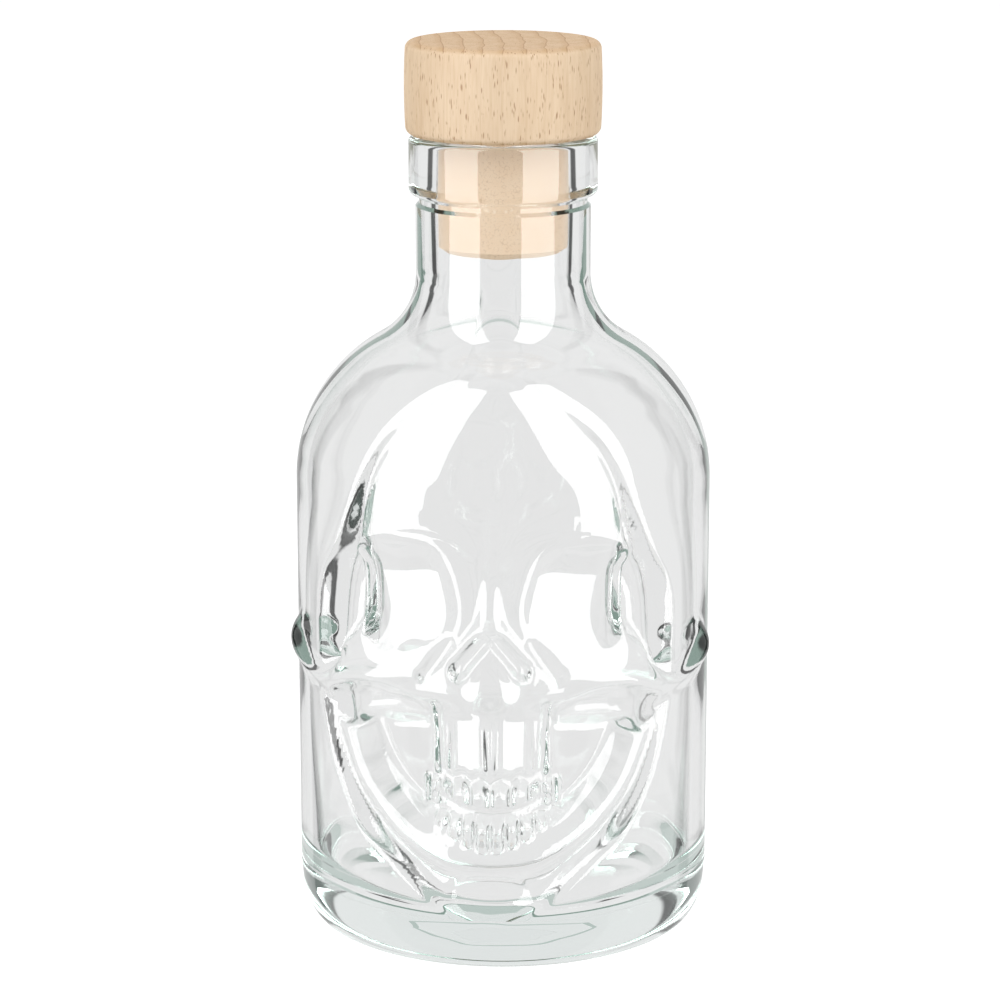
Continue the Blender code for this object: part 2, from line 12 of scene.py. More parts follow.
import bpy
import numpy as np
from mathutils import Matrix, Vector


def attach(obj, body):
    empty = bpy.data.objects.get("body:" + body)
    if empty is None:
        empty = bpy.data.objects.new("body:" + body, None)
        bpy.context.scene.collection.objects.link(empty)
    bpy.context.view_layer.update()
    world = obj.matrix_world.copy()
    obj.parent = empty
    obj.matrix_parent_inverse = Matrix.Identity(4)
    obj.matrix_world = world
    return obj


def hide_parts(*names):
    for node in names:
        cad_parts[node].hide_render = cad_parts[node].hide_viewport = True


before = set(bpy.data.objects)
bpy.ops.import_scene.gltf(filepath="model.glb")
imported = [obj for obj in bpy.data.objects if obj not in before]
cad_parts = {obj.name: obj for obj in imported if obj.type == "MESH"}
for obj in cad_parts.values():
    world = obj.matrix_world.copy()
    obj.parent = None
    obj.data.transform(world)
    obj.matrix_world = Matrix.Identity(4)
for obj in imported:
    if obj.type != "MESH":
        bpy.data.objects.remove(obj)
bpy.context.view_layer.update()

log = logging.getLogger("bottle")

Number = Union["Socket", float]
Feed = Union["Socket", float, Sequence[float]]
Point = tuple[float, float]
Chain = tuple[tuple[float, ...], ...]
Colour = tuple[float, float, float, float]
Grid = np.ndarray

WHITE: Colour = (1.0, 1.0, 1.0, 1.0)
ORIGIN = (0.0, 0.0, 0.0)
# Side of the plane that is merged into a profile's first point
START_SIZE = 0.001
# Points nearer than this are one
MERGE_DISTANCE = 0.000005
# Edges up to this angle are shaded smooth
SMOOTH_ANGLE = math.radians(40.0)
# Steps between two points of a chain
CURVE_STEPS = 4
# Half widths out from a ridge's crest at which its rounding ends
RIDGE_EDGE = 2.0


class Body(Enum):
    """The bodies that new pieces ride on."""

    BOTTLE = "bottle"
    STOPPER = "stopper"


# Shader trees


def arithmetic(operation: str, swapped: bool = False) -> Callable[..., "Socket"]:
    """A method of Socket that adds a Math node.

    Args:
        operation: The node's operation.
        swapped: Whether the socket itself is the node's second value.

    Returns:
        The method, which takes the socket and the node's other value, if it has one.
    """

    def method(socket: "Socket", *others: Number) -> "Socket":
        """Adds the node and gives its output."""
        made = socket.tree.nodes.new("ShaderNodeMath")
        made.operation = operation
        values = (*others, socket) if swapped else (socket, *others)
        for taken, value in zip(made.inputs, values):
            connect(socket.tree, taken, value)
        return Socket(socket.tree, made.outputs[0])

    return method


class Socket:
    """An output of a shader tree, on which Python's operators add Math nodes.

    Root is its square root, larger the larger of it and a value, and above is 1 where it is above a
    value, else 0. Angle is the angle, in radians, whose tangent is its ratio to another output.
    """

    def __init__(self, tree: bpy.types.NodeTree, source: bpy.types.NodeSocket) -> None:
        """Wraps an output.

        Args:
            tree: The tree that the output is in.
            source: The output.
        """
        self.tree = tree
        self.source = source

    __add__ = __radd__ = arithmetic("ADD")
    __mul__ = __rmul__ = arithmetic("MULTIPLY")
    __sub__ = arithmetic("SUBTRACT")
    __rsub__ = arithmetic("SUBTRACT", swapped=True)
    __truediv__ = arithmetic("DIVIDE")
    __mod__ = arithmetic("FLOORED_MODULO")
    __abs__ = arithmetic("ABSOLUTE")
    root = arithmetic("SQRT")
    larger = arithmetic("MAXIMUM")
    above = arithmetic("GREATER_THAN")
    angle = arithmetic("ARCTAN2")


def connect(tree: bpy.types.NodeTree, taken: bpy.types.NodeSocket, value: Feed) -> None:
    """Gives an input its value or its link.

    Args:
        tree: The tree that the input is in.
        taken: The input.
        value: An output to link, or a plain value.
    """
    if isinstance(value, Socket):
        tree.links.new(value.source, taken)
    else:
        taken.default_value = value


class Shader:
    """A shader tree that is filled node by node."""

    def __init__(self, tree: bpy.types.NodeTree) -> None:
        """Empties a tree.

        Args:
            tree: The tree of a material or of the world.
        """
        self.tree = tree
        tree.nodes.clear()

    def node(
        self,
        kind: str,
        settings: Optional[Mapping[str, object]] = None,
        inputs: Optional[Mapping[Union[str, int], Feed]] = None,
        output: Union[str, int] = 0,
    ) -> Socket:
        """Adds a node.

        Args:
            kind: The node's type, without ShaderNode.
            settings: Its settings.
            inputs: What its inputs take, by name or number.
            output: The output that is wanted, by name or number.

        Returns:
            That output.
        """
        made = self.tree.nodes.new(f"ShaderNode{kind}")
        for name, value in (settings or {}).items():
            setattr(made, name, value)
        for name, value in (inputs or {}).items():
            connect(self.tree, made.inputs[name], value)
        return Socket(self.tree, made.outputs[output])

    def end(self, kind: str, **shaders: Socket) -> None:
        """Adds the tree's output node.

        Args:
            kind: Material or World.
            shaders: What its Surface and Volume take.
        """
        made = self.tree.nodes.new(f"ShaderNodeOutput{kind}")
        for name, shader in shaders.items():
            connect(self.tree, made.inputs[name.capitalize()], shader)

    def ray(self, kind: str) -> Socket:
        """What Light Path says of the ray that is being traced."""
        return self.node("LightPath", output=kind)

    def place(self) -> Socket:
        """Object coordinates, in metres."""
        return self.node("TexCoord", output="Object")

    def axis(self, vector: Socket, axis: str) -> Socket:
        """One axis of a vector."""
        return self.node("SeparateXYZ", inputs={0: vector}, output=axis)

    def upright(self, vector: Socket, height: float) -> Socket:
        """Coordinates whose heights are scaled, so that a pattern on them stretches upright."""
        return self.node("Mapping", inputs={"Vector": vector, "Scale": (1.0, 1.0, height)})

    def noise(self, vector: Socket, scale: float, detail: float, roughness: float = 0.5) -> Socket:
        """Cloudy noise from 0 to 1."""
        values = {"Vector": vector, "Scale": scale, "Detail": detail, "Roughness": roughness}
        return self.node("TexNoise", inputs=values)

    def step(self, value: Socket, low: float, high: float) -> Socket:
        """0 at one value and 1 at another, with a soft S between."""
        values = {"Value": value, "From Min": low, "From Max": high}
        return self.node("MapRange", {"interpolation_type": "SMOOTHSTEP"}, values)

    def bump(self, height: Socket, distance: float, strength: float) -> Socket:
        """A normal that a height tilts."""
        values = {"Strength": strength, "Distance": distance, "Height": height}
        return self.node("Bump", inputs=values)

    def matt(self, body: Socket, roughness: Socket, **more: Socket) -> None:
        """Ends a material in an opaque surface.

        Args:
            body: Its colour.
            roughness: Its roughness.
            more: What other inputs take, such as its normal.
        """
        values = {"Base Color": body, "Roughness": roughness, "Metallic": 0.0, **more}
        self.end("Material", surface=self.node("BsdfPrincipled", inputs=values))

    def mixed(self, share: Feed, first: Feed, second: Feed) -> Socket:
        """Two colours, mixed by a share of the second."""
        settings = {"data_type": "RGBA", "clamp_factor": True}
        return self.node("Mix", settings, {0: share, 6: first, 7: second}, output=2)


def new_material(name: str) -> tuple[bpy.types.Material, Shader]:
    """A new material and its tree, which is still empty."""
    made = bpy.data.materials.new(name)
    made.use_nodes = True
    return made, Shader(made.node_tree)


def colour(red: float, green: float, blue: float) -> Colour:
    """A colour from its values on a screen, 0 to 255, as a shader takes it."""
    linear = [
        value / 255 / 12.92 if value <= 10.31 else ((value / 255 + 0.055) / 1.055) ** 2.4
        for value in (red, green, blue)
    ]
    return (*linear, 1.0)


# Finishes


@dataclass(frozen=True)
class ClearGlass:
    """Clear glass, faintly green through its thickness, with the slight ripple of a moulded wall.

    A ray that has been mirrored as often as deepest says goes straight on, dimmed to deep_colour.
    """

    name: str = "clear_glass"
    tint: Colour = (0.69, 0.85, 0.81, 1.0)
    tint_density: float = 4.5
    shadow_colour: Colour = (0.94, 0.955, 0.95, 1.0)
    deep_colour: Colour = (0.66, 0.73, 0.70, 1.0)
    deepest: int = 4
    ior: float = 1.5
    ripple_height: float = 0.00004
    ripple_scale: float = 90.0
    ripple_stretch: float = 0.45

    def material(self) -> bpy.types.Material:
        """Builds the material."""
        made, shader = new_material(self.name)
        place = shader.upright(shader.place(), self.ripple_stretch)
        ripple = shader.noise(place, self.ripple_scale, detail=1.0)
        values = {
            "Base Color": WHITE,
            "Roughness": 0.0,
            "Metallic": 0.0,
            "IOR": self.ior,
            "Transmission Weight": 1.0,
            "Normal": shader.bump(ripple, self.ripple_height, strength=1.0),
        }
        glass = shader.node("BsdfPrincipled", inputs=values)
        lit = shader.node("BsdfTransparent", inputs={"Color": self.shadow_colour})
        light = shader.ray("Is Shadow Ray").larger(shader.ray("Is Diffuse Ray"))
        surface = shader.node("MixShader", inputs={0: light, 1: glass, 2: lit})
        dimmed = shader.node("BsdfTransparent", inputs={"Color": self.deep_colour})
        deep = shader.ray("Glossy Depth").above(self.deepest - 0.5)
        surface = shader.node("MixShader", inputs={0: deep, 1: surface, 2: dimmed})
        inside = {"Color": self.tint, "Density": self.tint_density}
        volume = shader.node("VolumeAbsorption", inputs=inside)
        shader.end("Material", surface=surface, volume=volume)
        return made


@dataclass(frozen=True)
class Beech:
    """Bare beech, with its rings on the end grain and short dark flecks down the side."""

    name: str = "bare_beech"
    light: Colour = colour(221, 196, 164)
    dark: Colour = colour(196, 162, 122)
    fleck: Colour = colour(150, 102, 58)
    pith: Point = (-0.095, -0.012)
    ring_spacing: float = 0.0030
    ring_waver: float = 0.0011
    waver_scale: float = 130.0
    late_wood: Point = (0.55, 0.97)
    ring_edge: Point = (0.90, 0.97)
    edge_strength: float = 0.55
    rings_on_side: float = 0.12
    top_slopes: Point = (0.35, 0.8)
    growth_darkness: float = 0.55
    late_darkness: float = 0.5
    least_darkness: float = 0.1
    cloud_scale: float = 420.0
    cloud_contrast: float = 0.9
    fibre_scale: float = 3800.0
    fibre_start: float = 0.42
    fibre_contrast: float = 1.1
    fibre_rise: float = 0.5
    fleck_strength: float = 0.8
    fleck_scale: float = 3400.0
    fleck_sizes: Point = (0.14, 0.38)
    patch_scale: float = 1100.0
    patch_share: Point = (0.42, 0.60)
    grain_height: float = 0.00008
    grain_strength: float = 0.35
    smoothest: float = 0.52
    roughening: float = 0.2

    def material(self) -> bpy.types.Material:
        """Builds the material."""
        made, shader = new_material(self.name)
        place = shader.place()
        ring = self._ring(shader, place)
        year_end = 1.0 - shader.step(ring, self.late_wood[1], 1.0)
        late = shader.step(ring, *self.late_wood) * year_end
        cloud = shader.noise(shader.upright(place, height=0.25), self.cloud_scale, detail=3.0)
        fibre = shader.noise(shader.upright(place, height=0.06), self.fibre_scale, detail=2.0)
        end_grain = self._end_grain(shader)
        growth = (late * self.late_darkness + self.growth_darkness) * end_grain
        darkness = growth + (cloud - 0.5) * self.cloud_contrast + self.least_darkness
        body = shader.mixed(darkness, self.light, self.dark)
        body = shader.mixed((fibre - self.fibre_start) * self.fibre_contrast, body, self.dark)
        flecks = self._flecks(shader, place)
        body = shader.mixed(flecks * self.fleck_strength, body, self.fleck)
        edge = shader.step(ring, *self.ring_edge) * year_end
        body = shader.mixed(edge * end_grain * self.edge_strength, body, self.fleck)
        tilt = fibre * self.fibre_rise - flecks
        normal = shader.bump(tilt, self.grain_height, self.grain_strength)
        shader.matt(body, self.smoothest + fibre * self.roughening, Normal=normal)
        return made

    def _ring(self, shader: Shader, place: Socket) -> Socket:
        """How far through its year's growth the wood is, from 0 to 1."""
        waver = shader.noise(shader.upright(place, height=0.2), self.waver_scale, detail=1.0)
        across = shader.axis(place, "X") - self.pith[0]
        along = shader.axis(place, "Y") - self.pith[1]
        radius = (across * across + along * along).root() + (waver - 0.5) * (2.0 * self.ring_waver)
        return (radius / self.ring_spacing) % 1.0

    def _flecks(self, shader: Shader, place: Socket) -> Socket:
        """Short dark pores, upright in the wood."""
        spots = {"Vector": shader.upright(place, height=0.16), "Scale": self.fleck_scale}
        scattered = shader.node("TexVoronoi", {"feature": "F1"}, spots)
        patches = shader.noise(shader.upright(place, height=0.5), self.patch_scale, detail=1.0)
        flecks = 1.0 - shader.step(scattered, *self.fleck_sizes)
        return flecks * shader.step(patches, *self.patch_share)

    def _end_grain(self, shader: Shader) -> Socket:
        """1 on the top, where the rings are cut across, and little down the side."""
        facing = shader.node("NewGeometry", output="Normal")
        top = shader.step(abs(shader.axis(facing, "Z")), *self.top_slopes)
        return top * (1.0 - self.rings_on_side) + self.rings_on_side


@dataclass(frozen=True)
class PlugStuff:
    """The beige of the plug, with fine short hairs in it."""

    name: str = "pale_plug"
    ground: Colour = colour(240, 204, 168)
    hair: Colour = colour(190, 144, 98)
    pale: Colour = colour(243, 214, 184)
    cloud_scale: float = 500.0
    hair_scale: float = 1700.0
    hair_width: float = 0.08
    hair_strength: float = 0.45
    patch_scale: float = 2600.0
    patch_share: Point = (0.46, 0.60)
    smoothest: float = 0.5
    roughening: float = 0.2

    def material(self) -> bpy.types.Material:
        """Builds the material."""
        made, shader = new_material(self.name)
        place = shader.place()
        cloud = shader.noise(place, self.cloud_scale, detail=4.0, roughness=0.6)
        cells = {"Vector": place, "Scale": self.hair_scale}
        edges = shader.node("TexVoronoi", {"feature": "DISTANCE_TO_EDGE"}, cells)
        patches = shader.noise(place, self.patch_scale, detail=1.0)
        hairs = 1.0 - shader.step(edges, 0.0, self.hair_width)
        hairs = hairs * shader.step(patches, *self.patch_share)
        body = shader.mixed(cloud, self.ground, self.pale)
        body = shader.mixed(hairs * self.hair_strength, body, self.hair)
        shader.matt(body, self.smoothest + cloud * self.roughening)
        return made


@dataclass(frozen=True)
class Glue:
    """Set glue, slightly cloudy."""

    name: str = "set_glue"
    thick: Colour = colour(226, 218, 196)
    thin: Colour = colour(208, 194, 164)
    cloud_scale: float = 350.0
    smoothest: float = 0.25
    roughening: float = 0.2

    def material(self) -> bpy.types.Material:
        """Builds the material."""
        made, shader = new_material(self.name)
        cloud = shader.noise(shader.place(), self.cloud_scale, detail=3.0)
        body = shader.mixed(cloud, self.thick, self.thin)
        shader.matt(body, self.smoothest + cloud * self.roughening)
        return made


# Modelling


def added(name: str, operator: Callable[..., set[str]], **settings: object) -> bpy.types.Object:
    """Adds an object with an operator, with all else deselected.

    Args:
        name: The object's name.
        operator: The operator that adds it.
        settings: The operator's settings.

    Returns:
        The object.
    """
    bpy.ops.object.select_all(action="DESELECT")
    operator(**settings)
    made = bpy.context.object
    made.name = name
    return made


def arc(
    centre: Point, radius: float, start: float, end: float, steps: int, stretch: float = 1.0
) -> list[Point]:
    """Points of an arc in the profile's plane.

    Args:
        centre: Its centre, as radius and height.
        radius: Its radius.
        start: The angle that it starts at, in degrees from outwards.
        end: The angle that it ends at.
        steps: How many steps it is drawn in.
        stretch: How much taller than wide it is.

    Returns:
        The points, both ends included.
    """
    angles = [math.radians(start + (end - start) * step / steps) for step in range(steps + 1)]
    tall = radius * stretch
    return [(centre[0] + radius * math.cos(a), centre[1] + tall * math.sin(a)) for a in angles]


def rows_between(start: Point, end: Point, spacing: float) -> list[Point]:
    """Evenly spaced points on the straight line between two points, without its ends.

    Args:
        start: The first point.
        end: The second point.
        spacing: About how far apart the points are.

    Returns:
        The points.
    """
    count = max(1, round(math.dist(start, end) / spacing))
    shares = [row / count for row in range(1, count)]
    return [
        (start[0] + (end[0] - start[0]) * share, start[1] + (end[1] - start[1]) * share)
        for share in shares
    ]


def turned(name: str, profile: Sequence[Point], front_steps: int, back_steps: int) -> bpy.types.Object:
    """Turns a profile round the bottle's axis.

    Args:
        name: The piece's name.
        profile: Points of (radius, height).
        front_steps: Steps round the front half, which faces -Y.
        back_steps: Steps round the back half.

    Returns:
        The piece, with its doubles merged and its faces pointing out.
    """
    first = (profile[0][0], 0.0, profile[0][1])
    piece = added(name, bpy.ops.mesh.primitive_plane_add, size=START_SIZE, location=first)
    piece.data.name = name
    bpy.ops.object.mode_set(mode="EDIT")
    bpy.ops.mesh.select_all(action="SELECT")
    bpy.ops.mesh.merge(type="CENTER")
    for start, end in zip(profile, profile[1:]):
        move = (end[0] - start[0], 0.0, end[1] - start[1])
        bpy.ops.mesh.extrude_region_move(TRANSFORM_OT_translate={"value": move})
    bpy.ops.mesh.select_all(action="SELECT")
    for steps in (front_steps, back_steps):
        bpy.ops.mesh.spin(steps=steps, angle=math.pi, center=ORIGIN, axis=(0.0, 0.0, 1.0))
    bpy.ops.mesh.select_all(action="SELECT")
    bpy.ops.mesh.remove_doubles(threshold=MERGE_DISTANCE)
    bpy.ops.mesh.normals_make_consistent(inside=False)
    bpy.ops.object.mode_set(mode="OBJECT")
    bpy.ops.object.transform_apply(location=True, rotation=True, scale=True)
    bpy.ops.object.shade_smooth_by_angle(angle=SMOOTH_ANGLE)
    return piece


def hide_from(thing: bpy.types.Object, *rays: str) -> None:
    """Hides an object from kinds of rays."""
    for ray in rays:
        setattr(thing, f"visible_{ray}", False)


def dress(piece: bpy.types.Object, material: bpy.types.Material) -> None:
    """Gives a piece its only material."""
    piece.data.materials.clear()
    piece.data.materials.append(material)


def carry(piece: bpy.types.Object, body: Body, node: str) -> None:
    """Puts a piece on the body that it rides on, hides the node that it replaces, and reports it.

    Args:
        piece: The piece.
        body: The body that it moves with.
        node: The node that it replaces.
    """
    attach(piece, body.value)
    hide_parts(node)
    log.info("%s rides on %s: %d faces", piece.name, body.value, len(piece.data.polygons))


# The skull's relief


def smooth_step(value: Grid, low: float, high: float) -> Grid:
    """0 below low, 1 above high, with a soft S between."""
    part = np.clip((value - low) / (high - low), 0.0, 1.0)
    return part * part * (3.0 - 2.0 * part)


def smooth_max(first: Grid, second: Grid, blend: float) -> Grid:
    """The larger of two heights, with the crease between them rounded over blend."""
    share = np.clip(0.5 + 0.5 * (first - second) / blend, 0.0, 1.0)
    return second + (first - second) * share + blend * share * (1.0 - share)


def smooth_min(first: Grid, second: Grid, blend: float) -> Grid:
    """The smaller of two heights, with the crease between them rounded over blend."""
    return -smooth_max(-first, -second, blend)


def by_height(table: Chain, up: Grid) -> list[Grid]:
    """The columns of a table, whose first one is the height, read between its rows."""
    levels, *columns = zip(*table)
    return [np.interp(up, levels, column) for column in columns]


def curved(points: Chain) -> Grid:
    """The points of a smooth curve through a chain of points, each with as many values as wanted."""
    spots = np.array(points)
    spots = np.vstack([2.0 * spots[0] - spots[1], spots, 2.0 * spots[-1] - spots[-2]])
    rounded = [spots[1]]
    for index in range(1, len(spots) - 2):
        before, start, end, after = spots[index - 1 : index + 3]
        for step in range(1, CURVE_STEPS + 1):
            share = step / CURVE_STEPS
            bend = (2.0 * before - 5.0 * start + 4.0 * end - after) * share**2
            twist = (3.0 * start - before - 3.0 * end + after) * share**3
            rounded.append(0.5 * (2.0 * start + (end - before) * share + bend + twist))
    return np.array(rounded)


def nearest_on_run(across: Grid, up: Grid, start: Grid, end: Grid) -> tuple[Grid, Grid]:
    """Where each place's nearest point lies on a straight run.

    Args:
        across: Distances round the body.
        up: Heights.
        start: The run's first end.
        end: Its second end.

    Returns:
        How far along the run it is, from 0 to 1, and the distance to it.
    """
    run = end[:2] - start[:2]
    share = ((across - start[0]) * run[0] + (up - start[1]) * run[1]) / (run @ run)
    share = np.clip(share, 0.0, 1.0)
    return share, np.hypot(across - start[0] - share * run[0], up - start[1] - share * run[1])


def depth_inside(across: Grid, up: Grid, half_outline: Chain) -> Grid:
    """Distance inside an outline, negative outside it.

    Args:
        across: Distances round the body.
        up: Heights.
        half_outline: The outline's right half.

    Returns:
        The distances.
    """
    right_half = curved(half_outline)
    left_half = right_half[::-1] * (-1.0, 1.0)
    outline = np.vstack([right_half, left_half[1:]])
    nearest = np.full(across.shape, np.inf)
    inside = np.zeros(across.shape, dtype=bool)
    for start, end in zip(outline[:-1], outline[1:]):
        nearest = np.minimum(nearest, nearest_on_run(across, up, start, end)[1])
        if start[1] != end[1]:
            crossing = start[0] + (up - start[1]) / (end[1] - start[1]) * (end[0] - start[0])
            inside ^= ((start[1] > up) != (end[1] > up)) & (across < crossing)
    return np.where(inside, nearest, -nearest)


def ridge(across: Grid, up: Grid, points: Chain) -> Grid:
    """Height of a rounded ridge, which falls evenly from RIDGE_EDGE half widths out.

    Args:
        across: Distances round the body.
        up: Heights.
        points: What it runs through, as (across, up, height, half width).

    Returns:
        The heights.
    """
    highest = np.full(across.shape, -np.inf)
    rounded = curved(points)
    for start, end in zip(rounded[:-1], rounded[1:]):
        share, distance = nearest_on_run(across, up, start, end)
        crest = start[2] + share * (end[2] - start[2])
        width = start[3] + share * (end[3] - start[3])
        reach = distance / width
        straight = RIDGE_EDGE * reach - 0.5 * RIDGE_EDGE**2
        fall = np.where(reach < RIDGE_EDGE, 0.5 * reach**2, straight)
        highest = np.maximum(highest, crest - width * fall)
    return highest


def mm(*rows: Sequence[float]) -> Chain:
    """Rows of millimetres, in metres."""
    return tuple(tuple(value / 1000.0 for value in row) for row in rows)


@dataclass(frozen=True)
class ToothRow:
    """One row of teeth, from the middle outwards."""

    level: float
    half_height: float
    widths: tuple[float, ...]


@dataclass(frozen=True)
class Skull:
    """The skull in the bottle's front, in distances round the body and up from the base band.

    An outline is a chain of (across, up), and a bone or a groove one of (across, up, height, half
    width). A table has (up, depth, wall) for the recess, (up, depth) for the face and (up, depth in
    the middle, depth at the sides, half width) for the forehead.
    """

    recess_edge: Chain = mm(
        (0.0, 0.0), (2.1, 0.1), (5.5, 0.9), (9.8, 3.2), (14.8, 7.1), (20.4, 11.0), (24.6, 16.5),
        (27.6, 21.5), (30.2, 29.0), (31.2, 36.0), (31.2, 44.0), (29.6, 49.5), (26.2, 54.5),
        (23.3, 60.0), (21.2, 65.5), (18.9, 71.0), (15.8, 75.0), (11.0, 78.5), (5.5, 80.1),
        (0.0, 80.7),
    )
    recess: Chain = mm(
        (0.0, 0.6, 1.8), (7.0, 2.8, 2.4), (16.0, 6.6, 3.8), (28.0, 5.1, 5.2), (38.0, 4.8, 6.0),
        (50.0, 5.4, 4.4), (58.0, 3.6, 2.8), (66.0, 1.8, 2.6), (73.0, 0.8, 3.4), (77.0, 0.4, 3.6),
    )
    face_edge: Chain = mm(
        (0.0, 20.5), (9.2, 20.5), (10.6, 23.2), (10.4, 27.2), (12.0, 30.2), (16.0, 31.3),
        (21.2, 31.2), (26.2, 31.6), (26.8, 35.0), (25.6, 38.6), (22.6, 40.8), (20.9, 43.2),
        (20.6, 49.0), (20.7, 54.2), (20.0, 59.0), (18.3, 66.1), (16.0, 71.2), (11.4, 75.7),
        (5.3, 77.8), (0.0, 78.3),
    )
    face: Chain = mm((20.5, 1.3), (26.0, 1.3), (32.0, 1.2), (40.0, 0.6), (48.0, 0.3), (56.0, 0.0))
    face_slope: float = 1.7
    forehead: Chain = mm(
        (34.0, 0.0, 0.0, 21.5), (44.0, 1.6, 0.0, 21.0), (54.0, 3.0, 0.0, 20.7),
        (59.5, 3.0, 0.0, 20.0), (64.0, 2.3, 0.2, 18.8), (68.0, 1.4, 0.8, 17.6),
        (72.0, 0.6, 1.4, 15.8), (75.2, 0.2, 1.4, 12.5), (78.3, 0.0, 1.0, 8.0),
    )
    orbit_centre: Point = (0.0130, 0.0480)
    orbit_radii: Point = (0.0089, 0.0085)
    orbit_tilt: float = math.radians(-12.0)
    orbit_depth: float = 0.0034
    orbit_rim_depth: float = 0.0012
    orbit_powers: Point = (3.0, 2.7)
    brow: Chain = mm(
        (3.0, 54.5, -2.9, 1.4), (6.8, 57.6, -2.3, 1.8), (13.0, 58.8, -1.4, 2.0),
        (18.4, 57.4, -0.4, 1.8), (20.6, 54.0, 0.0, 1.3),
    )
    nasal_bone: Chain = mm(
        (0.0, 58.0, -3.0, 3.0), (0.0, 52.5, -2.9, 2.4), (0.0, 47.5, -1.6, 2.0),
        (0.0, 43.8, -0.4, 2.0),
    )
    nostril_rim: Chain = mm((0.8, 43.4, 0.0, 1.0), (3.0, 40.6, 0.0, 1.1), (5.6, 37.0, -0.3, 1.1))
    cheekbone: Chain = mm(
        (10.0, 36.6, -1.0, 2.2), (15.0, 36.2, -0.3, 2.4), (22.5, 34.4, 0.1, 2.6),
        (27.5, 32.6, 0.3, 2.4), (33.0, 33.4, 0.8, 2.3), (37.5, 35.0, 1.3, 2.6),
        (40.1, 36.4, 1.5, 2.8), (38.5, 38.6, 1.1, 1.8), (35.0, 39.3, 0.4, 1.4),
    )
    jaw: Chain = mm(
        (0.0, 8.5, -0.7, 2.4), (6.5, 8.9, -0.9, 2.4), (12.5, 11.0, -1.6, 2.2),
        (18.0, 14.5, -2.0, 2.2), (22.4, 19.0, -1.6, 2.1), (25.0, 24.0, -1.3, 2.0),
        (27.2, 29.6, -0.9, 2.0),
    )
    nose_opening: Chain = mm(
        (0.0, 30.5), (3.2, 31.0), (5.1, 33.2), (5.3, 36.2), (3.4, 39.4), (0.0, 42.3),
    )
    nose_depth: float = 0.0022
    nose_wall: float = 0.0042
    nose_slot: Chain = mm((1.1, 41.3, 3.6, 0.6), (4.6, 37.6, 3.6, 0.8))
    cheek_hollow: Chain = mm(
        (12.2, 29.4, 6.2, 0.8), (16.5, 29.9, 7.4, 1.1), (21.5, 29.7, 7.4, 1.1),
        (24.8, 29.2, 6.0, 0.8),
    )
    cheek_groove: Chain = mm((6.4, 41.5, 2.6, 0.7), (8.4, 38.8, 2.4, 0.8), (10.2, 36.4, 1.7, 0.7))
    chin_hollow_height: float = 0.0040
    chin_hollow_radii: Point = (0.0070, 0.0021)
    chin_hollow_depth: float = 0.0009
    chin_hollow_wall: float = 0.3
    upper_teeth: ToothRow = ToothRow(0.0180, 0.0026, (0.0033, 0.0032, 0.0022, 0.0024, 0.0020))
    lower_teeth: ToothRow = ToothRow(0.0122, 0.0032, (0.0024, 0.0022, 0.0027, 0.0024, 0.0020))
    tooth_depth: float = 0.0006
    tooth_crown: float = 0.0044
    tooth_blend: float = 0.0002
    root_grooves: tuple[Chain, ...] = (
        mm((0.0, 29.0, 2.6, 0.7), (0.0, 21.2, 2.8, 0.3)),
        mm((6.3, 28.5, 3.6, 0.3), (6.6, 21.2, 4.2, 0.3)),
        mm((9.4, 31.0, 5.0, 0.4), (9.0, 21.2, 5.6, 0.4)),
    )
    gum_line: Chain = mm(
        (0.0, 20.3, 3.2, 0.4), (1.6, 21.2, 3.3, 0.4), (3.3, 20.4, 3.6, 0.4), (4.8, 21.2, 4.0, 0.4),
        (6.5, 20.5, 4.6, 0.4), (8.6, 21.1, 5.6, 0.4),
    )
    bite_line: Chain = mm(
        (0.0, 15.5, 3.6, 0.4), (3.2, 15.7, 4.0, 0.4), (6.2, 16.2, 4.8, 0.4), (9.2, 17.0, 6.0, 0.4),
    )
    gum_depth: float = 0.0027
    gum_rise: float = 0.0020
    dental_arch_radius: float = 0.0300
    dental_arch_slope: float = 0.18
    dental_arch_top: float = 0.0320
    blend: float = 0.0005
    edge_softness: float = 0.00015
    wall_evening: float = 0.0050
    wall_thinning: float = 0.0012
    reach: float = 0.0500
    cell: float = 0.0002

    def _orbit(self, across: Grid, up: Grid) -> Grid:
        """The bowl of an eye socket."""
        aside = across - self.orbit_centre[0]
        higher = up - self.orbit_centre[1]
        along = aside * math.cos(self.orbit_tilt) + higher * math.sin(self.orbit_tilt)
        athwart = higher * math.cos(self.orbit_tilt) - aside * math.sin(self.orbit_tilt)
        reach = np.abs(along / self.orbit_radii[0]) ** self.orbit_powers[0]
        reach += np.abs(athwart / self.orbit_radii[1]) ** self.orbit_powers[1]
        return self.orbit_depth * (reach - 1.0) - self.orbit_rim_depth

    def _forehead(self, across: Grid, up: Grid) -> Grid:
        """How far the forehead and the brow, which are flatter than the body, lie behind its curve."""
        middle, sides, half_width = by_height(self.forehead, up)
        share = np.clip((across / half_width) ** 2, 0.0, 1.0)
        return -middle * (1.0 - share) - sides * share

    def _dental_arch(self, across: Grid) -> Grid:
        """How far the curve of the tooth rows has fallen back at a distance from the middle."""
        return -self.dental_arch_slope * across - 0.5 * across**2 / self.dental_arch_radius

    def _teeth(self, across: Grid, up: Grid, row: ToothRow) -> Grid:
        """Crowns of one row of teeth, along the curve of the jaw."""
        curve = self._dental_arch(across) - self.tooth_depth
        highest = np.full(across.shape, -np.inf)
        middle = 0.0
        for width in row.widths:
            middle += width / 2.0
            side = np.abs((across - middle) / (width / 2.0))
            rise = np.abs((up - row.level) / row.half_height)
            highest = np.maximum(highest, curve - self.tooth_crown * (side**6 + rise**6))
            middle += width / 2.0
        return highest

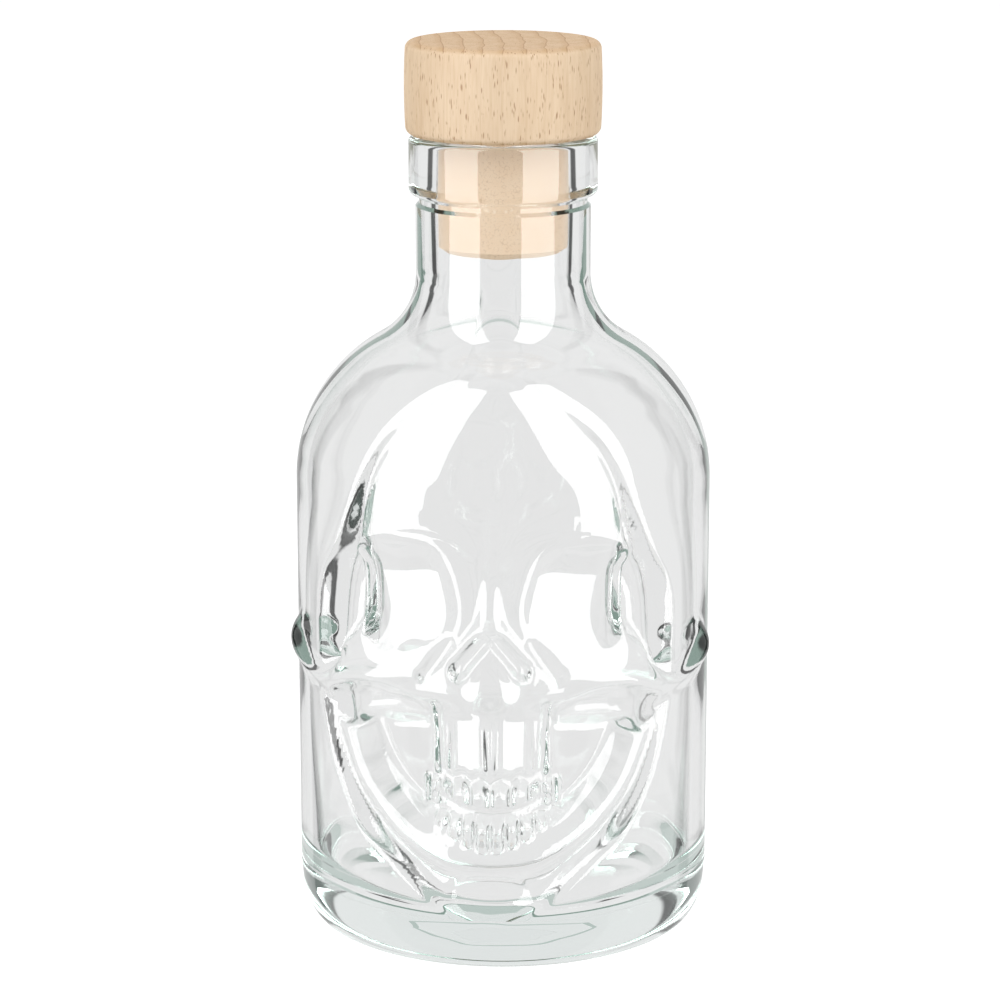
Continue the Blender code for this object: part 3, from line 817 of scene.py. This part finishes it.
    def _gums(self, across: Grid, up: Grid) -> Grid:
        """The bone that carries both rows of teeth."""
        low = self.lower_teeth.level - self.lower_teeth.half_height
        high = self.upper_teeth.level + self.upper_teeth.half_height + self.gum_rise
        reach = sum(self.upper_teeth.widths)
        outside = np.maximum(np.maximum(low - up, up - high), across - reach)
        return self._dental_arch(across) - self.gum_depth - self.face_slope * np.maximum(outside, 0.0)

    def relief(self, across: Grid, up: Grid) -> Grid:
        """How far the outer surface stands out from the plain body, on the skull's right half.

        Args:
            across: Distances round the body, from its middle.
            up: Heights above the base band.

        Returns:
            The heights.
        """
        depth, wall = by_height(self.recess, up)
        height = -depth * smooth_step(depth_inside(across, up, self.recess_edge), 0.0, wall)

        outside_face = np.maximum(-depth_inside(across, up, self.face_edge), 0.0)
        face = self._forehead(across, up) - by_height(self.face, up)[0]
        below = self.dental_arch_top - up
        face += self._dental_arch(across) * smooth_step(below, -self.gum_rise, self.gum_rise)
        face -= self.face_slope * outside_face
        height = smooth_max(height, face, self.blend)
        height = smooth_max(height, self._gums(across, up), self.blend)
        for bone in (self.brow, self.cheekbone, self.jaw):
            height = smooth_max(height, ridge(across, up, bone), self.blend)
        height = smooth_min(height, self._orbit(across, up), self.blend)
        for bone in (self.nasal_bone, self.nostril_rim):
            height = smooth_max(height, ridge(across, up, bone), self.blend)

        into_nose = depth_inside(across, up, self.nose_opening)
        height -= self.nose_depth * smooth_step(into_nose, 0.0, self.nose_wall)
        for groove in (self.nose_slot, self.cheek_hollow, self.cheek_groove, *self.root_grooves):
            height = smooth_min(height, -ridge(across, up, groove), self.blend)
        for row in (self.upper_teeth, self.lower_teeth):
            height = smooth_max(height, self._teeth(across, up, row), self.tooth_blend)
        for groove in (self.gum_line, self.bite_line):
            height = smooth_min(height, -ridge(across, up, groove), self.tooth_blend)

        wide, tall = self.chin_hollow_radii
        reach = np.hypot(across / wide, (up - self.chin_hollow_height) / tall)
        height -= self.chin_hollow_depth * smooth_step(1.0 - reach, 0.0, self.chin_hollow_wall)
        return height * smooth_step(up, -self.edge_softness, self.edge_softness)

    def softened(self, heights: Grid, spread: float) -> Grid:
        """Heights on the grid, smoothed over a distance."""
        cells = int(3.0 * spread / self.cell)
        weights = np.exp(-0.5 * (np.arange(-cells, cells + 1) * self.cell / spread) ** 2)
        weights /= weights.sum()
        for direction in (0, 1):
            heights = np.apply_along_axis(np.convolve, direction, heights, weights, "same")
        return heights

    def sheets(self, top: float) -> tuple[Grid, Grid]:
        """The relief of the outer and of the inner surface on an even grid.

        Args:
            top: How far above the base band the grid reaches.

        Returns:
            The heights of the outer surface and those of the inner one, which follows it softly.
        """
        half = np.arange(0.0, self.reach, self.cell)
        across, up = np.meshgrid(half, np.arange(-self.cell, top, self.cell))
        rights = (self.relief(across, up), self._forehead(across, up))
        heights, flat = (np.hstack([right[:, :0:-1], right]) for right in rights)
        outside = self.softened(heights, self.edge_softness)
        thinned = outside + self.wall_thinning
        inside = self.softened(heights - flat, self.wall_evening) + flat
        return outside, smooth_min(inside, thinned, self.blend)

    def sampled(self, sheet: Grid, around: Grid, up: Grid) -> Grid:
        """A sheet's heights, read between its points.

        Args:
            sheet: Heights on the grid.
            around: Distances round the body.
            up: Heights above the base band.

        Returns:
            The heights at the places.
        """
        last_row, last_column = sheet.shape[0] - 1, sheet.shape[1] - 1
        column = np.clip(around / self.cell + last_column / 2.0, 0.0, last_column)
        row = np.clip(up / self.cell + 1.0, 0.0, last_row)
        left = np.minimum(column.astype(int), last_column - 1)
        below = np.minimum(row.astype(int), last_row - 1)
        aside = column - left
        higher = row - below
        low = sheet[below, left] * (1.0 - aside) + sheet[below, left + 1] * aside
        high = sheet[below + 1, left] * (1.0 - aside) + sheet[below + 1, left + 1] * aside
        return low * (1.0 - higher) + high * higher


@dataclass
class GlassBottle:
    """The bottle: a thick wall turned round its axis, with the skull pressed into its front."""

    skull: Skull = field(default_factory=Skull)
    finish: ClearGlass = field(default_factory=ClearGlass)
    body_radius: float = 0.0310
    body_wall: float = 0.0026
    straight_top: float = 0.0680
    shoulder_radius: float = 0.02425
    heel_width: float = 0.0032
    heel_height: float = 0.0070
    band_rise: float = 0.0010
    band_step: float = 0.00015
    bearing_width: float = 0.0034
    push_up_depth: float = 0.0006
    floor_height: float = 0.0068
    floor_corner: float = 0.0060
    neck_radius: float = 0.01295
    neck_wall: float = 0.0029
    neck_fillet: float = 0.0110
    neck_length: float = 0.0100
    undercut_depth: float = 0.0005
    undercut_height: float = 0.0017
    lip_radius: float = 0.01395
    lip_height: float = 0.0085
    rim_rounding: float = 0.0008
    lip_foot_turn: float = -70.0
    push_up_rings: tuple[float, ...] = (0.985, 0.96, 0.9, 0.8, 0.65, 0.5, 0.35, 0.2)
    floor_rings: tuple[float, ...] = (0.0, 0.25, 0.5, 0.75)
    floor_margin: float = 0.00001
    rim_steps: int = 6
    corner_steps: int = 12
    outer_shoulder_steps: int = 54
    inner_shoulder_steps: int = 30
    outer_row: float = 0.0006
    mouth_row: float = 0.00027
    mouth: Point = (0.0155, 0.0315)
    gathering: float = 0.5
    inner_row: float = 0.0013
    front_steps: int = 232
    back_steps: int = 46

    @property
    def band_height(self) -> float:
        """Where the base band ends."""
        return self.heel_height + self.band_rise

    @property
    def bore_radius(self) -> float:
        """Radius of the neck's bore."""
        return self.neck_radius - self.neck_wall

    @property
    def shoulder_centre(self) -> float:
        """Radius at which the shoulder's arc has its centre."""
        return self.body_radius - self.shoulder_radius

    @property
    def shoulder_top(self) -> float:
        """Where the neck's fillet ends."""
        aside = self.neck_radius + self.neck_fillet - self.shoulder_centre
        return self.straight_top + math.sqrt((self.shoulder_radius + self.neck_fillet) ** 2 - aside**2)

    @property
    def lip_foot(self) -> float:
        """Where the lip starts."""
        return self.shoulder_top + self.neck_length + self.undercut_height

    @property
    def rim_height(self) -> float:
        """Height of the rim."""
        return self.lip_foot + self.lip_height

    def _shoulder(self, neck: float, radius: float, fillet: float, steps: int) -> list[Point]:
        """Shoulder and fillet from the body's side up to the neck's, as two arcs that meet smoothly."""
        aside = neck + fillet - self.shoulder_centre
        above = math.sqrt((radius + fillet) ** 2 - aside**2)
        meeting = math.degrees(math.atan2(above, aside))
        rising = arc((self.shoulder_centre, self.straight_top), radius, 0.0, meeting, steps)
        centre = (neck + fillet, self.straight_top + above)
        return rising + arc(centre, fillet, 180.0 + meeting, 180.0, steps // 3)[1:]

    def _outer_side(self) -> list[Point]:
        """Outer side of the glass, from the rim down to the middle of the base."""
        rounding = self.rim_rounding
        rim_centre = (self.lip_radius - rounding, self.rim_height - rounding)
        foot_centre = (self.lip_radius - rounding, self.lip_foot + rounding)
        lip = arc(rim_centre, rounding, 90.0, 0.0, self.rim_steps)
        lip += arc(foot_centre, rounding, 0.0, self.lip_foot_turn, self.rim_steps)
        undercut = self.neck_radius - self.undercut_depth
        groove_foot = self.lip_foot - self.undercut_height
        lip += [
            (undercut, self.lip_foot - self.undercut_depth),
            (undercut, groove_foot + self.undercut_depth),
            (self.neck_radius, groove_foot),
        ]
        sizes = (self.neck_radius, self.shoulder_radius, self.neck_fillet)
        above_body = self._shoulder(*sizes, self.outer_shoulder_steps)[::-1]
        side_foot = (self.body_radius, self.band_height + self.band_step)
        mouth_foot, mouth_top = ((self.body_radius, height) for height in self.mouth)
        side = rows_between(above_body[-1], mouth_top, self.outer_row) + [mouth_top]
        side += rows_between(mouth_top, mouth_foot, self.mouth_row) + [mouth_foot]
        side += rows_between(mouth_foot, side_foot, self.outer_row)
        band_radius = self.body_radius - self.band_step
        ring = band_radius - self.heel_width
        stretch = self.heel_height / self.heel_width
        centre = (ring, self.heel_height)
        heel = arc(centre, self.heel_width, 0.0, -90.0, self.corner_steps, stretch)
        bearing = ring - self.bearing_width
        push_up = [
            (bearing * share, self.push_up_depth * (1.0 - share**3)) for share in self.push_up_rings
        ]
        base = [(band_radius, self.band_height)] + heel + [(bearing, 0.0)] + push_up
        return lip + above_body + side + [side_foot] + base + [(0.0, self.push_up_depth)]

    def _inner_side(self) -> list[Point]:
        """Inner side of the glass, from the middle of the floor up to the rim."""
        across = self.body_radius - self.body_wall - self.floor_corner
        centre = (across, self.floor_height + self.floor_corner)
        corner = arc(centre, self.floor_corner, -90.0, 0.0, self.corner_steps)
        floor = [(across * share, self.floor_height) for share in self.floor_rings]
        radius = self.shoulder_radius - self.body_wall
        fillet = self.neck_fillet + self.neck_wall
        above_body = self._shoulder(self.bore_radius, radius, fillet, self.inner_shoulder_steps)
        side = rows_between(corner[-1], above_body[0], self.inner_row)
        rim_centre = (self.bore_radius + self.rim_rounding, self.rim_height - self.rim_rounding)
        rim = arc(rim_centre, self.rim_rounding, 180.0, 90.0, self.rim_steps)
        return floor + corner + side + above_body + rim

    def _wall_middle(self, up: Grid) -> Grid:
        """Radius at a height that parts the wall's outer side from its inner one."""
        rows = [(height, radius) for radius, height in self._outer_side() if radius > self.bore_radius]
        heights, radii = zip(*sorted(rows))
        return np.interp(up, heights, radii) - min(self.body_wall, self.neck_wall) / 2.0

    def _press_skull(self, mesh: bpy.types.Mesh) -> None:
        """Gathers the columns towards the face, and moves the wall's two surfaces in and out to it."""
        flat = np.empty(len(mesh.vertices) * 3)
        mesh.vertices.foreach_get("co", flat)
        places = flat.reshape(-1, 3)
        radius = np.hypot(places[:, 0], places[:, 1])
        turn = np.arctan2(places[:, 0], -places[:, 1])
        shift = 0.5 * self.gathering * np.sin(2.0 * turn)
        turn -= np.where(np.abs(turn) < math.pi / 2.0, shift, 0.0)
        places[:, 0] = radius * np.sin(turn)
        places[:, 1] = -radius * np.cos(turn)
        around = self.body_radius * turn
        up = places[:, 2]
        front = (np.abs(around) < self.skull.reach) & (up < self.shoulder_top)
        outer = front & (radius > self._wall_middle(up))
        inner = front & ~outer & (up > self.floor_height + self.floor_margin)
        outside, inside = self.skull.sheets(self.shoulder_top - self.band_height)
        above_band = up - self.band_height
        pressed = radius.copy()
        pressed[outer] += self.skull.sampled(outside, around[outer], above_band[outer])
        corner_top = self.floor_height + self.floor_corner
        held = smooth_step(up[inner], self.floor_height, corner_top)
        pressed[inner] += self.skull.sampled(inside, around[inner], above_band[inner]) * held
        moved = outer | inner
        share = pressed[moved] / radius[moved]
        places[moved, :2] *= share[:, None]
        mesh.vertices.foreach_set("co", places.ravel())
        mesh.update()

    def build(self) -> None:
        """Models the bottle, dresses it and puts it on its body."""
        profile = self._inner_side() + self._outer_side()
        piece = turned("glass_bottle", profile, self.front_steps, self.back_steps)
        self._press_skull(piece.data)
        dress(piece, self.finish.material())
        carry(piece, Body.BOTTLE, "bottle_glass")


@dataclass
class Stopper:
    """The stopper: a turned beech head, a plug in the neck and the glue between them."""

    bottle: GlassBottle
    wood: Beech = field(default_factory=Beech)
    plug_stuff: PlugStuff = field(default_factory=PlugStuff)
    glue: Glue = field(default_factory=Glue)
    seat_gap: float = 0.0003
    head_radius: float = 0.0144
    head_height: float = 0.0137
    head_barrel: float = 0.00015
    head_rounding: float = 0.0012
    plug_clearance: float = 0.0003
    plug_reach: float = 0.0168
    plug_chamfer: float = 0.0009
    socket_depth: float = 0.0050
    glue_thickness: float = 0.0005
    head_top_rings: tuple[float, ...] = (0.0, 0.5, 0.9)
    head_side_rings: tuple[float, ...] = (0.12, 0.3, 0.5, 0.7, 0.88)
    plug_edge: float = 0.0002
    plug_row: float = 0.0030
    rounding_steps: int = 9
    steps: int = 96

    @property
    def plug_radius(self) -> float:
        """Radius of the plug."""
        return self.bottle.bore_radius - self.plug_clearance

    @property
    def head_bottom(self) -> float:
        """Height of the head's underside."""
        return self.bottle.rim_height + self.seat_gap

    def _head_profile(self) -> list[Point]:
        """Outline of the head, from the middle of its top to the middle of its socket's roof."""
        low = self.head_bottom
        high = low + self.head_height
        rounding = self.head_rounding
        edge = self.head_radius - rounding
        top = [(edge * share, high) for share in self.head_top_rings]
        height = high - low - 2.0 * rounding
        side = []
        for share in self.head_side_rings:
            barrel = self.head_barrel * 4.0 * share * (1.0 - share)
            side.append((self.head_radius + barrel, high - rounding - height * share))
        socket = self.plug_radius + self.seat_gap
        roof = low + self.socket_depth
        rounded_top = arc((edge, high - rounding), rounding, 90.0, 0.0, self.rounding_steps)
        rounded_bottom = arc((edge, low + rounding), rounding, 0.0, -90.0, self.rounding_steps)
        socket_side = [(socket, low), (socket, roof), (0.0, roof)]
        return top + rounded_top + side + rounded_bottom + socket_side

    def _plug_profile(self) -> list[Point]:
        """Outline of the plug, from the middle of its top to the middle of its foot."""
        top = self.head_bottom + self.socket_depth - 2.0 * self.seat_gap - self.glue_thickness
        foot = self.bottle.rim_height - self.plug_reach
        radius = self.plug_radius
        chamfer = self.plug_chamfer
        side = rows_between((radius, top), (radius, foot + chamfer), self.plug_row)
        start = [(0.0, top), (radius - self.plug_edge, top), (radius, top - self.plug_edge)]
        return start + side + [(radius, foot + chamfer), (radius - chamfer, foot), (0.0, foot)]

    def build(self) -> None:
        """Models the head and the plug, dresses them and the glue, and puts them on their bodies."""
        head = turned("beech_head", self._head_profile(), self.steps, self.steps)
        dress(head, self.wood.material())
        carry(head, Body.STOPPER, "stopper_head")
        plug = turned("neck_plug", self._plug_profile(), self.steps, self.steps)
        dress(plug, self.plug_stuff.material())
        carry(plug, Body.STOPPER, "stopper_plug")
        dress(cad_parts["stopper_glue"], self.glue.material())
        log.info("stopper_glue keeps its solid")


# The studio


@dataclass(frozen=True)
class Panel:
    """A bright or dark panel of the studio, as seen from the bottle.

    Azimuths are in degrees from -Y towards +X, heights in degrees above the horizon. A panel can be
    brighter where it is seen through the glass than where the glass mirrors it.
    """

    azimuth: float
    half_width: float
    low: float
    high: float
    brightness: float
    softness: float = 4.0
    seen_through: float = 0.0


@dataclass(frozen=True)
class Lamp:
    """A soft square lamp, with its power in watts."""

    name: str
    place: tuple[float, float, float]
    size: float
    power: float


@dataclass
class Studio:
    """A pale floor, soft light and the camera."""

    pitch: float = math.radians(13.6)
    azimuth: float = math.radians(3.8)
    distance: float = 0.535
    target: tuple[float, float, float] = (0.0, 0.0, 0.0641)
    sensor: float = 36.0
    lens: float = 128.0
    nearest: float = 0.01
    shift: Point = (-0.0032, -0.0015)
    ambient: float = 0.72
    walls: float = 0.80
    panels: tuple[Panel, ...] = (
        Panel(180.0, 44.0, -90.0, 90.0, 0.83, 3.0),
        Panel(128.0, 6.0, -60.0, 60.0, 0.05, 2.0),
        Panel(-128.0, 6.0, -60.0, 60.0, 0.05, 2.0),
        Panel(0.0, 67.0, -90.0, 90.0, 0.35, 3.0, 0.25),
    )
    lamps: tuple[Lamp, ...] = (
        Lamp("soft_left", (-0.55, -0.45, 0.75), 0.6, 3.2),
        Lamp("soft_right", (0.60, -0.35, 0.60), 0.5, 1.8),
    )
    floor_radius: float = 3.0
    floor_colour: Colour = (0.82, 0.82, 0.82, 1.0)
    floor_lift: float = 0.42
    card_distance: float = 0.110
    card_height: float = 0.440
    card_strength: float = 6.0
    cards: tuple[Point, ...] = ((-46.0, 21.0), (48.5, 22.5))

    def _pattern(self, shader: Shader) -> Socket:
        """Brightness of the studio in each direction, each panel over the ones before it."""
        way = shader.node("TexCoord", output="Generated")
        across = shader.axis(way, "X")
        away = shader.axis(way, "Y")
        up = shader.axis(way, "Z")
        azimuth = across.angle(away * -1.0) * math.degrees(1.0)
        level = up.angle((across * across + away * away).root()) * math.degrees(1.0)
        through = shader.ray("Is Transmission Ray")
        brightness: Feed = self.walls
        for panel in self.panels:
            soft = panel.softness
            aside = abs((azimuth - panel.azimuth + 180.0) % 360.0 - 180.0)
            mask = 1.0 - shader.step(aside, panel.half_width - soft, panel.half_width + soft)
            mask = mask * shader.step(level, panel.low - soft, panel.low + soft)
            mask = mask * (1.0 - shader.step(level, panel.high - soft, panel.high + soft))
            glow = through * panel.seen_through + panel.brightness
            brightness = (glow - brightness) * mask + brightness
        return brightness

    def _card(self, azimuth: float, half_width: float) -> None:
        """Stands a glowing card on the floor, which only the outside of the object mirrors.

        Args:
            azimuth: The way to its middle, in degrees from -Y towards +X.
            half_width: How far to each side it reaches, in degrees.
        """
        turn = math.radians(azimuth)
        place = (
            math.sin(turn) * self.card_distance,
            -math.cos(turn) * self.card_distance,
            self.card_height / 2.0,
        )
        width = 2.0 * self.card_distance * math.tan(math.radians(half_width))
        facing = (math.radians(90.0), 0.0, turn)
        plane = bpy.ops.mesh.primitive_plane_add
        card = added("soft_card", plane, size=1.0, location=place, rotation=facing)
        card.scale = (width, self.card_height, 1.0)
        hide_from(card, "camera", "diffuse", "transmission", "volume_scatter", "shadow")
        material, shader = new_material("soft_card")
        glow = shader.node("Emission", inputs={"Strength": self.card_strength})
        shader.end("Material", surface=glow)
        dress(card, material)

    def _world(self) -> None:
        """White behind, soft light all round, and the studio's panels in the glass."""
        world = bpy.data.worlds.new("studio")
        world.use_nodes = True
        bpy.context.scene.world = world
        shader = Shader(world.node_tree)
        camera = shader.ray("Is Camera Ray")
        in_glass = shader.ray("Is Glossy Ray").larger(shader.ray("Is Transmission Ray"))
        diffuse = 1.0 - camera.larger(in_glass)
        strength = camera + in_glass * self._pattern(shader) + diffuse * self.ambient
        light = shader.node("Background", inputs={"Color": WHITE, "Strength": strength})
        shader.end("World", surface=light)

    def _lamp(self, lamp: Lamp) -> None:
        """Adds a lamp that lights matt surfaces and leaves the glass to the panels."""
        made = added(lamp.name, bpy.ops.object.light_add, type="AREA", location=lamp.place)
        made.data.size = lamp.size
        made.data.energy = lamp.power
        way = Vector(self.target) - Vector(lamp.place)
        made.rotation_euler = way.to_track_quat("-Z", "Y").to_euler()
        hide_from(made, "camera", "glossy", "transmission")

    def _floor(self) -> None:
        """A pale floor that keeps a faint shadow."""
        shape = {"vertices": 96, "radius": self.floor_radius, "fill_type": "NGON", "location": ORIGIN}
        floor = added("floor", bpy.ops.mesh.primitive_circle_add, **shape)
        hide_from(floor, "glossy", "transmission")
        material, shader = new_material("pale_floor")
        seen = shader.ray("Is Camera Ray")
        matt = shader.node("BsdfDiffuse", inputs={"Color": self.floor_colour})
        lift = shader.node("Emission", inputs={"Strength": seen * self.floor_lift})
        both = shader.node("AddShader", inputs={0: matt, 1: lift})
        shader.end("Material", surface=both)
        dress(floor, material)

    def _camera(self) -> None:
        """The camera, a little above the bottle and in front of it."""
        level = math.cos(self.pitch)
        side, front = math.sin(self.azimuth) * level, -math.cos(self.azimuth) * level
        back = Vector((side, front, math.sin(self.pitch)))
        place = Vector(self.target) + back * self.distance
        turn = (-back).to_track_quat("-Z", "Y").to_euler()
        camera = added("Camera", bpy.ops.object.camera_add, location=place, rotation=turn)
        camera.data.sensor_width = self.sensor
        camera.data.lens = self.lens
        camera.data.shift_x, camera.data.shift_y = self.shift
        camera.data.clip_start = self.nearest
        bpy.context.scene.camera = camera

    def build(self) -> None:
        """Sets up the floor, the light and the camera."""
        bpy.context.scene.view_settings.view_transform = "Standard"
        self._world()
        for lamp in self.lamps:
            self._lamp(lamp)
        for azimuth, half_width in self.cards:
            self._card(azimuth, half_width)
        self._floor()
        self._camera()


def main() -> None:
    """Builds the bottle, its stopper and the studio in order."""
    logging.basicConfig(level=logging.INFO, format="%(message)s")
    bottle = GlassBottle()
    bottle.build()
    Stopper(bottle).build()
    Studio().build()


if __name__ == "__main__":
    main()
